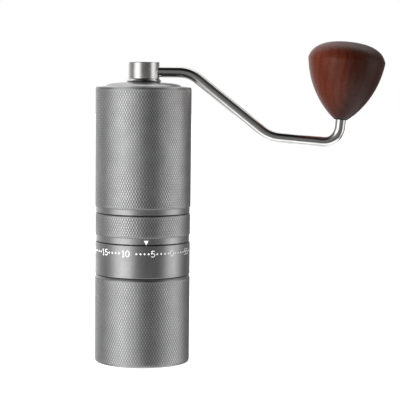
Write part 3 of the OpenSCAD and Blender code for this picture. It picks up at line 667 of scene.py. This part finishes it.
class GRINDER_OT_shells(bpy.types.Operator):
    """Builds the knurled upper body, adjusting ring and catch cup"""

    bl_idname = "grinder.shells"
    bl_label = "Knurled shells"

    def execute(self, context):
        settings = context.scene.grinder_shells
        self.upper_body(settings, settings.chamfer)
        self.adjusting_ring(settings, settings.chamfer)
        self.catch_cup(settings)
        return {"FINISHED"}

    def strip(self, settings, radius, foot, band):
        """The plain strip from its foot up to the band."""
        plain = radius - settings.strip_step
        return [(plain - EDGE, foot), (plain, foot + EDGE), (plain, band - STRIP_EDGE),
                (plain - STRIP_EDGE, band)]

    def upper_body(self, settings, cut):
        radius, foot, top = span("upper_body")
        bore = span("upper_spider")[0] + SEAT_GAP
        sleeve_top = span("inner_sleeve")[2] + 0.5 * MM
        shelf = span("upper_spider")[1]
        _, clip_low, clip_high = span("upper_spider_clip")
        chamber, groove = bore - 1 * MM, bore + 1 * MM
        band = foot + settings.foot_height
        inside = [
            (radius - cut * 0.2, top - cut * 0.25), (radius - cut, top), (bore + 0.3 * MM, top),
            (bore, top - 0.3 * MM), (bore, clip_high + CLIP_GAP), (groove, clip_high + CLIP_GAP),
            (groove, clip_low - CLIP_GAP), (bore, clip_low - CLIP_GAP), (bore, shelf),
            (chamber, shelf), (chamber, sleeve_top), (bore, sleeve_top), (bore, foot),
            *self.strip(settings, radius, foot, band), (radius - cut, band),
        ]
        knurled_shell("upper_body_shell", "body", "upper_body", (radius, band + cut * 0.6, top - cut),
                      inside, settings.knurl_pitch, settings)

    def adjusting_ring(self, settings, cut):
        radius, foot, top = span("adjust_ring")
        inner, thread = ADJUSTER_BORE, radius - ADJUSTER_WALL
        band = foot + settings.pointer_strip
        lip, shelf = top - ADJUSTER_LIP, band - 0.1 * MM
        inside = [
            (radius - 0.1 * MM, top - 0.15 * MM), (radius - 0.3 * MM, top), (inner, top),
            (inner, lip), (thread, lip), (thread, shelf), (inner, shelf), (inner, foot),
            *self.strip(settings, radius, foot, band), (radius - cut * 0.8, band),
        ]
        knurled_shell("adjusting_ring_shell", "adjuster", "adjust_ring",
                      (radius, band + cut * 0.5, top - cut * 0.5), inside, settings.band_pitch, settings)

    def catch_cup(self, settings):
        radius, foot, top = span("catch_cup")
        seat, seat_z, _ = span("cup_ring")
        seat += SEAT_GAP
        mouth = top - settings.cup_chamfer
        wall, floor = radius - CUP_WALL, foot + CUP_FLOOR
        under = foot + 0.3 * MM
        curve = bezier((wall, floor + CUP_CORNER), (wall, floor + CUP_CORNER * 0.45),
                       (wall - CUP_CORNER * 0.55, floor), (wall - CUP_CORNER, floor), 8)
        profile = [
            (radius - 0.1 * MM, mouth), (radius - 0.55 * MM, top - 0.1 * MM), (radius - 0.65 * MM, top),
            (seat, top), (seat, seat_z), (wall, seat_z), *curve, (wall * 0.5, floor), (CUP_POST, floor),
            (CUP_POST, under), (radius * 0.72, under), (radius * 0.74, foot), (radius - 1.1 * MM, foot),
            (radius - 0.35 * MM, under), (radius - settings.knurl_depth, foot + 1 * MM),
        ]
        band = (radius, foot + 1.2 * MM, mouth - 0.08 * MM)
        made = knurled_shell("catch_cup_shell", "cup", "catch_cup", band, profile,
                             settings.knurl_pitch, settings)
        self.close_floor(made.data)

    def close_floor(self, mesh):
        """Takes out the narrow tube round the axis and closes the floor above and below it."""
        bm = bmesh.new()
        bm.from_mesh(mesh)
        reach = CUP_POST + 0.01 * MM
        tube = [f for f in bm.faces if all(math.hypot(v.co.x, v.co.y) < reach for v in f.verts)]
        bmesh.ops.delete(bm, geom=tube, context="FACES")
        bmesh.ops.holes_fill(bm, edges=[e for e in bm.edges if e.is_boundary], sides=0)
        bm.to_mesh(mesh)
        bm.free()


# ---------------------------------------------------------------- dial


def arc(x, y, wide, tall, first, last):
    """Points round an ellipse, in steps of 15 degrees clockwise from its top."""
    return [(x + wide * math.sin(a * math.pi / 12), y + tall * math.cos(a * math.pi / 12))
            for a in range(first, last + 1)]


# Strokes of each figure, in a cell one unit high round its own middle
GLYPHS = {
    "0": [arc(0, 0, 0.30, 0.44, 0, 24)],
    "1": [[(-0.19, 0.28), (0.02, 0.47)], [(0.02, 0.5), (0.02, -0.5)], [(-0.17, -0.46), (0.21, -0.46)]],
    "2": [[(-0.27, 0.24), *arc(0, 0.2, 0.26, 0.25, -5, 9), (-0.27, -0.45), (0.3, -0.45)]],
    "3": [arc(0, 0.23, 0.25, 0.22, -5, 12) + arc(0, -0.21, 0.28, 0.24, 0, 17)],
    "4": [[(0.3, -0.18), (-0.3, -0.18), (0.12, 0.46), (0.12, -0.5)]],
    "5": [[(0.26, 0.45), (-0.18, 0.45), (-0.22, 0.04), *arc(-0.01, -0.17, 0.28, 0.27, -4, 16)]],
}
STROKE = 0.105


def ribbon(bm, points, width, wrap):
    """A flat band along points, closed as a thin solid by the wrap function."""
    sides = []
    for i, here in enumerate(points):
        before = Vector(points[max(i - 1, 0)])
        after = Vector(points[min(i + 1, len(points) - 1)])
        if points[0] == points[-1] and i in (0, len(points) - 1):
            before, after = Vector(points[-2]), Vector(points[1])
        into = (Vector(here) - before).normalized()
        out = (after - Vector(here)).normalized()
        way = (into + out).normalized()
        side = Vector((-way.y, way.x))
        keep = max(side.dot(Vector((-into.y, into.x))) if into.length else 1.0, 0.6)
        sides.append((Vector(here) + side * width / 2 / keep, Vector(here) - side * width / 2 / keep))
    rows = [[bm.verts.new(wrap(p, raised)) for p, raised in ((l, 1), (r, 1), (r, 0), (l, 0))]
            for l, r in sides]
    for a, b in zip(rows, rows[1:]):
        for k in range(4):
            n = (k + 1) % 4
            bm.faces.new((a[k], b[k], b[n], a[n]))
    if points[0] != points[-1]:
        bm.faces.new(rows[0])
        bm.faces.new(list(reversed(rows[-1])))


def printed(turn, across, z, raised, radius, relief):
    """A point laid on a ring, at the top of the print where raised and just under the ring if not."""
    around = FRONT + turn + across / radius
    out = radius + relief * (1 if raised else -1)
    return Vector((out * math.cos(around), out * math.sin(around), z))


class GRINDER_OT_dial(bpy.types.Operator):
    """Prints the figures, the dots and the pointer"""

    bl_idname = "grinder.dial"
    bl_label = "Dial print"

    def execute(self, context):
        settings = context.scene.grinder_dial
        radius, _, top = span("number_ring")
        level = top - settings.figure_level
        self.figures(settings, radius, level)
        self.dots(settings, radius, level)
        self.pointer(settings, context.scene.grinder_shells.strip_step)
        return {"FINISHED"}

    def typeset(self, settings):
        """Each character of the dial with the angle of its middle, set evenly round the ring."""
        text = "".join(str(label) + (" " if label == 10 else "") + "...." for label in range(55, -5, -5))
        step = settings.figure_step
        dot = (2 * math.pi - step * sum(char != "." for char in text)) / text.count(".")
        turns, turn = [], 0.0
        for char in text:
            wide = dot if char == "." else step
            turns.append(turn + wide / 2)
            turn += wide
        shift = settings.figure_turn - turns[text.index("5....0")]
        return [(char, turn + shift) for char, turn in zip(text, turns)]

    def figures(self, settings, radius, level):
        bm = bmesh.new()
        scale = settings.figure_height
        for char, middle in self.typeset(settings):
            for stroke in GLYPHS.get(char, ()):
                ribbon(bm, stroke, STROKE, lambda p, raised, middle=middle: printed(
                    middle, p.x * scale, level + p.y * scale, raised, radius, settings.relief))
        bmesh.ops.recalc_face_normals(bm, faces=bm.faces)
        piece("dial_figures", finish_mesh(bm, "print"), "body", "print")

    def dots(self, settings, radius, level):
        mesh = bpy.data.meshes.new("dots")
        turns = [turn for char, turn in self.typeset(settings) if char == "."]
        points = [(radius * math.cos(FRONT + turn), radius * math.sin(FRONT + turn), level)
                  for turn in turns]
        mesh.from_pydata(points, [], [])
        mesh.attributes.new("turn", "FLOAT", "POINT").data.foreach_set("value", turns)
        made = stamp_tree().run(mesh, {"Radius": settings.dot_radius, "Relief": settings.relief * 2,
                                       "Material": bpy.data.materials["print"]})
        piece("dial_dots", made, "body", "print")

    def pointer(self, settings, step):
        """A triangle on the plain strip, its tip down."""
        radius, foot, _ = span("adjust_ring")
        radius -= step
        wide = settings.pointer_width
        low, tall = foot + 0.05 * MM, wide * 0.92
        rows, columns = 8, 6
        bm = bmesh.new()

        def point(across, z, raised):
            return bm.verts.new(printed(settings.pointer_turn, across, z, raised, radius, settings.relief))

        def sheet(raised):
            """One face of the print; gives its outline."""
            grid = []
            for row in range(rows):
                half, z = wide / 2 * (1 - row / rows), low + tall * (1 - row / rows)
                grid.append([point(2 * half * k / columns - half, z, raised) for k in range(columns + 1)])
            tip = point(0, low, raised)
            for a, b in zip(grid, grid[1:]):
                for k in range(columns):
                    bm.faces.new((a[k], b[k], b[k + 1], a[k + 1]))
            for k in range(columns):
                bm.faces.new((grid[-1][k], tip, grid[-1][k + 1]))
            return grid[0] + [row[-1] for row in grid[1:]] + [tip] + [row[0] for row in grid[:0:-1]]

        upper, under = sheet(1), sheet(0)
        for k in range(len(upper)):
            n = (k + 1) % len(upper)
            bm.faces.new((upper[k], upper[n], under[n], under[k]))
        bmesh.ops.recalc_face_normals(bm, faces=bm.faces)
        piece("dial_pointer", finish_mesh(bm, "print"), "adjuster", "print")


# ---------------------------------------------------------------- plain turned pieces


class GRINDER_OT_rings(bpy.types.Operator):
    """Turns the numbered ring and the lid"""

    bl_idname = "grinder.rings"
    bl_label = "Plain turned pieces"

    def execute(self, context):
        self.numbered_ring()
        self.lid()
        return {"FINISHED"}

    def numbered_ring(self):
        radius, foot, top = span("number_ring")
        bore, shelf, _ = span("detent_ring")
        nest, _, roof = span("lock_ring")
        bore, nest = bore + SEAT_GAP, nest + SEAT_GAP
        profile = [(NUMBER_BORE, shelf), (NUMBER_BORE, roof), (nest, roof), (nest, foot), (radius, foot),
                   (radius, top), (bore, top), (bore, shelf)]
        profile = rounded(profile, {4: 0.35 * MM, 5: 0.22 * MM})
        turned_piece("numbered_ring", profile, RING_STEPS, "anodised_plain", "body", "number_ring")

    def lid(self):
        radius, foot, top = span("lid")
        rim = span("upper_body")[2]
        plug = LID_PLUG
        bush, boss, _ = span("lid_bush")
        bush += SEAT_GAP
        seal_radius, seal_low, seal_high = span("lid_seal")
        seal = (seal_high - seal_low) / 2 + SEAT_GAP
        seal_z = (seal_low + seal_high) / 2
        centre = seal_radius + SEAT_GAP - seal
        half = math.sqrt(max(seal ** 2 - (plug - centre) ** 2, 0))
        start = math.atan2(half, plug - centre)
        groove = [(centre + seal * math.cos(a), seal_z + seal * math.sin(a))
                  for a in [-start - (2 * math.pi - 2 * start) * i / 14 for i in range(15)]]
        dome = bezier((DOME_EDGE, rim + 1.2 * MM), (DOME_EDGE - 1.3 * MM, rim + 2.1 * MM),
                      (CROWN_EDGE + 1.6 * MM, top - 0.9 * MM), (CROWN_EDGE, top - 0.6 * MM), 12)
        under, inner = top - CROWN_UNDER, plug - LID_WALL
        profile = [
            (bush, boss), (bush + 2 * MM, boss), (bush + 2 * MM, under), (CROWN_EDGE, under),
            (inner, rim - 1.2 * MM), (inner, foot), (plug - 0.3 * MM, foot), (plug, foot + 0.3 * MM),
            *groove, (plug, rim), (radius - 0.1 * MM, rim), (radius, rim + 0.1 * MM),
            (radius, rim + 0.4 * MM), (radius - 0.2 * MM, rim + 0.6 * MM), *dome,
            (bush + 2.6 * MM, top), (bush + 0.2 * MM, top), (bush, top - 0.2 * MM),
        ]
        turned_piece("lid_dome", profile, RING_STEPS, "anodised_plain", "lid", "lid", sharp=22.0)


# ---------------------------------------------------------------- crank and knob


def rod_corners(crank):
    """The rod's three corners and the direction of the knob's axis."""
    rod_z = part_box("crank_hub")[1].z - HUB_CLAMP / 2
    first = Vector((crank.reach, 0, rod_z))
    second = first + Vector((math.cos(crank.drop), 0, -math.sin(crank.drop))) * crank.slope
    third = second + Vector((math.cos(crank.tilt), 0, -math.sin(crank.tilt))) * crank.low_run
    axis = Vector((math.sin(crank.tilt), 0, math.cos(crank.tilt)))
    return first, second, third, axis


class GRINDER_OT_crank(bpy.types.Operator):
    """Bends the crank rod and finishes the hub"""

    bl_idname = "grinder.crank"
    bl_label = "Crank"

    def execute(self, context):
        crank = context.scene.grinder_crank
        first, second, third, axis = rod_corners(crank)
        start = Vector((-4 * MM, 0, first.z))
        end = third + axis * (crank.post - 0.6 * MM)
        corners = [start, first, second, third, end]
        bends = [0, crank.bend_1, crank.bend_2, crank.bend_3, 0]
        source = bpy.data.meshes.new("rod")
        source.from_pydata(corners, [(i, i + 1) for i in range(len(corners) - 1)], [])
        source.attributes.new("bend", "FLOAT", "POINT").data.foreach_set("value", bends)
        mesh = rod_tree().run(source, {"Radius": crank.rod_radius,
                                       "Material": bpy.data.materials["polished_steel"]})
        mesh.shade_smooth()
        mesh.set_sharp_from_angle(angle=math.radians(50))
        piece("crank_rod", mesh, "crank", "polished_steel", "crank_arm")
        self.pin(crank, third + axis * crank.post, axis)
        piece("crank_hub_turned", copy_of_node("crank_hub", "satin_steel"), "crank", "polished_steel",
              "crank_hub")
        return {"FINISHED"}

    def pin(self, crank, foot, axis):
        """The pin that the knob turns on, with its clip groove."""
        radius = crank.rod_radius - 0.5 * MM
        neck, above = radius - 0.5 * MM, PIN_GROOVE + PIN_CLIP
        profile = [(0, -1 * MM), (radius, -1 * MM), (radius, PIN_GROOVE), (neck, PIN_GROOVE),
                   (neck, above), (radius, above), (radius, PIN_TIP - 0.4 * MM),
                   (radius - 0.4 * MM, PIN_TIP), (0, PIN_TIP)]
        turned_piece("crank_pin", profile, PIN_STEPS, "polished_steel", "crank", "crank_arm",
                     stand=(foot, axis))


class GRINDER_OT_knob(bpy.types.Operator):
    """Turns the wooden knob"""

    bl_idname = "grinder.knob"
    bl_label = "Knob"

    def execute(self, context):
        crank = context.scene.grinder_crank
        _, _, third, axis = rod_corners(crank)
        foot = third + axis * crank.post
        height, radius, wide = crank.knob_height, crank.knob_radius, crank.knob_wide
        side = bezier((crank.knob_foot, 0), (radius * 0.89, wide * 0.39), (radius * 0.97, wide * 0.86),
                      (radius, wide), 40)
        crown = bezier((radius, wide), (radius - 0.9 * MM, wide + 2.9 * MM), (radius * 0.86, height),
                       (0, height), 40)
        profile = [(0, KNOB_DEPTH), (KNOB_BORE, KNOB_DEPTH), (KNOB_BORE, 0.2 * MM),
                   (KNOB_BORE + 0.2 * MM, 0), *side, *crown[1:]]
        turned_piece("knob_turned", profile, KNOB_STEPS, "walnut", "knob", "knob", sharp=50.0,
                     stand=(foot, axis))
        return {"FINISHED"}


# ---------------------------------------------------------------- springs and the other parts


class GRINDER_OT_springs(bpy.types.Operator):
    """Winds the preload spring and the detent springs"""

    bl_idname = "grinder.springs"
    bl_label = "Springs"

    def execute(self, context):
        tree = coil_tree()
        radius, foot, top = span("preload_spring")
        wire = PRELOAD_WIRE
        self.wind(tree, "preload_coil", "shaft", "preload_spring", [(0, 0, foot + wire)],
                  radius - wire, top - foot - 2 * wire, PRELOAD_TURNS, wire)
        low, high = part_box("detent_springs")
        wire = DETENT_WIRE
        points = [(DETENT_CIRCLE * math.cos(a), DETENT_CIRCLE * math.sin(a), low.z + wire)
                  for a in [math.radians(90 + 120 * i) for i in range(3)]]
        self.wind(tree, "detent_coils", "adjuster", "detent_springs", points,
                  DETENT_COIL - wire, high.z - low.z - 2 * wire, DETENT_TURNS, wire)
        return {"FINISHED"}

    def wind(self, tree, name, body, node, points, radius, height, turns, wire):
        mesh = bpy.data.meshes.new(name)
        mesh.from_pydata(points, [], [])
        made = tree.run(mesh, {"Radius": radius, "Height": height, "Turns": turns, "Wire": wire,
                               "Material": bpy.data.materials["spring_steel"]})
        made.shade_smooth()
        piece(name, made, body, "spring_steel", node)


class GRINDER_OT_metalwork(bpy.types.Operator):
    """Finishes the parts inside with joined surfaces and their own materials"""

    bl_idname = "grinder.metalwork"
    bl_label = "Inner parts"

    def execute(self, context):
        slots = {row["node"]: row["material_slot"] for row in frame["record"]["subparts"]}
        for body, nodes in frame["record"]["behaviour"]["bodies"].items():
            for node in nodes:
                if not frame["nodes"][node].hide_render:
                    piece(node + "_finished", copy_of_node(node, slots[node]), body, slots[node], node)
        return {"FINISHED"}


class GRINDER_OT_finishes(bpy.types.Operator):
    """Makes the materials and gives each CAD node its own"""

    bl_idname = "grinder.finishes"
    bl_label = "Materials"

    def execute(self, context):
        settings = context.scene.grinder_finish
        made = build_finishes(settings)
        ink = Finish("print", tuple(settings.ink), 0.0, 0.5)
        ink.tint(ink.ramp(ink.noise(2.0, 2.0), [(0.2, darker(settings.ink, 0.94)),
                                                (0.8, tuple(settings.ink))]))
        for row in frame["record"]["subparts"]:
            mesh = frame["nodes"][row["node"]].data
            mesh.materials.clear()
            mesh.materials.append(made[row["material_slot"]])
        return {"FINISHED"}


# ---------------------------------------------------------------- stage


# What the room shows by direction: degrees from the front for the walls, and the sine of the
# height for the rest, each with a level
ROOM_WALLS = [(-180, 0.8), (-150, 0.8), (-128, 0.4), (-100, 0.19), (-80, 0.25), (-66, 0.9), (-52, 1.1),
              (-34, 1.1), (-24, 0.5), (-12, 0.16), (8, 0.11), (42, 0.09), (56, 0.16), (67, 0.7), (86, 0.9),
              (102, 0.35), (118, 0.12), (140, 0.12), (160, 0.2), (180, 0.5)]
ROOM_FADE = [(-1.0, 0.0), (-0.6, 0.1), (-0.42, 0.9), (-0.3, 1.0), (0.4, 1.0), (0.62, 0.15), (1.0, 0.03)]
ROOM_ROOF = [(0.45, 0.0), (0.7, 0.85), (1.0, 0.85)]
ROOM_FLOOR = [(-1.0, 0.5), (-0.9, 0.9), (-0.66, 0.85), (-0.52, 0.0)]
ROOM_GAIN = 1.45

# Where each lamp stands, what it points at, its width and height, and its watts
LAMPS = {
    "key_left": ((-0.76, -0.65, 0.35), (0, 0, 0.1), 0.7, 0.7, 16.0),
    "fill_right": ((1.0, -0.2, 0.3), (0, 0, 0.1), 0.6, 0.7, 1.5),
    "overhead": ((0.1, 0.15, 1.1), (0.03, 0, 0.1), 0.8, 0.8, 2.6),
}
FLOOR_RADIUS, FLOOR_GLOW = 6.0, 0.85
CAMERA_PLACE = (0.0317, -0.8307, 0.1566)
CAMERA_PITCH, CAMERA_ROLL = math.radians(4.57), math.radians(0.58)


class GRINDER_OT_stage(bpy.types.Operator):
    """Sets the floor, the lights and the camera"""

    bl_idname = "grinder.stage"
    bl_label = "Stage"

    def execute(self, context):
        scene = context.scene
        scene.view_settings.view_transform = "Standard"
        self.floor()
        self.surroundings(scene)
        for name, lamp in LAMPS.items():
            self.light(name, *lamp)
        self.camera(scene)
        return {"FINISHED"}

    def floor(self):
        bm = bmesh.new()
        bmesh.ops.create_circle(bm, cap_ends=True, segments=96, radius=FLOOR_RADIUS)
        mesh = bpy.data.meshes.new("floor")
        bm.to_mesh(mesh)
        bm.free()
        made = Finish("floor", (0.9, 0.9, 0.9), 0.0, 0.7)
        made.tint(made.ramp(made.noise(0.004, 1.0), [(0.3, (0.89,) * 3), (0.7, (0.91,) * 3)]))
        seen = made.add("ShaderNodeLightPath").outputs["Is Camera Ray"]
        made.shader.inputs["Emission Color"].default_value = (1, 1, 1, 1)
        glow = made.add("ShaderNodeMath", {0: seen, 1: FLOOR_GLOW}, operation="MULTIPLY").outputs["Value"]
        made.links.new(glow, made.shader.inputs["Emission Strength"])
        mesh.materials.append(made.material)
        floor = bpy.data.objects.new("floor", mesh)
        bpy.context.scene.collection.objects.link(floor)
        floor.visible_glossy = False

    def surroundings(self, scene):
        """White to the eye; what reflects it sees softboxes on both sides and a pale back wall."""
        world = scene.world or bpy.data.worlds.new("room")
        scene.world = world
        world.use_nodes = True
        nodes, links = world.node_tree.nodes, world.node_tree.links
        nodes.clear()

        def add(kind, inputs=(), **settings):
            return value_node(nodes, links, kind, inputs, **settings)

        def along(factor, stops):
            return colour_ramp(nodes, links, factor, [(place, (level,) * 3) for place, level in stops])

        def by_height(stops):
            return along(rise, [((height + 1) / 2, level) for height, level in stops])

        def share_of(value, low, high):
            made = add("ShaderNodeMapRange", {"Value": value, "From Min": low, "From Max": high})
            return made.outputs["Result"]

        def vector(operation, first, key, second):
            made = add("ShaderNodeVectorMath", {0: first, key: second}, operation=operation)
            return made.outputs["Vector"]

        way = add("ShaderNodeTexCoord")
        parts = add("ShaderNodeSeparateXYZ", {"Vector": way.outputs["Generated"]}).outputs
        front = add("ShaderNodeMath", {0: parts["Y"], 1: -1.0}, operation="MULTIPLY")
        turn = add("ShaderNodeMath", {0: parts["X"], 1: front.outputs["Value"]}, operation="ARCTAN2")
        rise = share_of(parts["Z"], -1.0, 1.0)
        walls = along(share_of(turn.outputs["Value"], -math.pi, math.pi),
                      [((degrees + 180) / 360, level) for degrees, level in ROOM_WALLS])
        lit = vector("MULTIPLY", walls, 1, by_height(ROOM_FADE))
        above = vector("SCALE", by_height(ROOM_ROOF), "Scale", share_of(parts["Y"], 0.1, 0.35))
        room = vector("ADD", vector("ADD", lit, 1, above), 1, by_height(ROOM_FLOOR))
        gain = vector("SCALE", room, "Scale", ROOM_GAIN)
        seen = add("ShaderNodeLightPath").outputs["Is Camera Ray"]
        shade = add("ShaderNodeMix", {0: seen, 6: gain, 7: (1, 1, 1, 1)}, data_type="RGBA")
        sky = add("ShaderNodeBackground", {"Color": shade.outputs[2], "Strength": 1.0})
        add("ShaderNodeOutputWorld", {"Surface": sky.outputs["Background"]})

    def light(self, name, place, target, wide, tall, watts):
        lamp = bpy.data.lights.new(name, "AREA")
        lamp.shape = "RECTANGLE"
        lamp.size, lamp.size_y, lamp.energy = wide, tall, watts
        made = bpy.data.objects.new(name, lamp)
        made.location = place
        made.rotation_euler = (Vector(target) - Vector(place)).to_track_quat("-Z", "Y").to_euler()
        made.visible_glossy = False
        bpy.context.scene.collection.objects.link(made)

    def camera(self, scene):
        lens = bpy.data.cameras.new("camera")
        lens.lens, lens.sensor_width = 135, 36
        lens.clip_start = 0.05
        made = bpy.data.objects.new("camera", lens)
        look = Matrix.Rotation(math.pi / 2 - CAMERA_PITCH, 4, "X") @ Matrix.Rotation(CAMERA_ROLL, 4, "Z")
        made.matrix_world = Matrix.Translation(CAMERA_PLACE) @ look
        scene.collection.objects.link(made)
        scene.camera = made


class GRINDER_PT_panel(bpy.types.Panel):
    """Lists the steps that build the grinder"""

    bl_idname = "GRINDER_PT_panel"
    bl_label = "Coffee grinder"
    bl_space_type = "VIEW_3D"
    bl_region_type = "UI"
    bl_category = "Grinder"

    def draw(self, context):
        for step in STEPS:
            self.layout.operator(step.bl_idname)
        for group in SETTINGS:
            for name in group.__annotations__:
                self.layout.prop(getattr(context.scene, SETTINGS[group]), name)


STEPS = (GRINDER_OT_finishes, GRINDER_OT_shells, GRINDER_OT_dial, GRINDER_OT_rings, GRINDER_OT_crank,
         GRINDER_OT_knob, GRINDER_OT_springs, GRINDER_OT_metalwork, GRINDER_OT_stage)
SETTINGS = {GrinderShells: "grinder_shells", GrinderCrank: "grinder_crank",
            GrinderDial: "grinder_dial", GrinderFinish: "grinder_finish"}


def register():
    for group, name in SETTINGS.items():
        bpy.utils.register_class(group)
        setattr(bpy.types.Scene, name, bpy.props.PointerProperty(type=group))
    for step in STEPS:
        bpy.utils.register_class(step)
    bpy.utils.register_class(GRINDER_PT_panel)


def unregister():
    bpy.utils.unregister_class(GRINDER_PT_panel)
    for step in reversed(STEPS):
        bpy.utils.unregister_class(step)
    for group, name in SETTINGS.items():
        delattr(bpy.types.Scene, name)
        bpy.utils.unregister_class(group)


def main():
    register()
    bpy.ops.grinder.finishes()
    bpy.ops.grinder.shells()
    bpy.ops.grinder.dial()
    bpy.ops.grinder.rings()
    bpy.ops.grinder.crank()
    bpy.ops.grinder.knob()
    bpy.ops.grinder.springs()
    bpy.ops.grinder.metalwork()
    bpy.ops.grinder.stage()


if __name__ == "__main__":
    main()
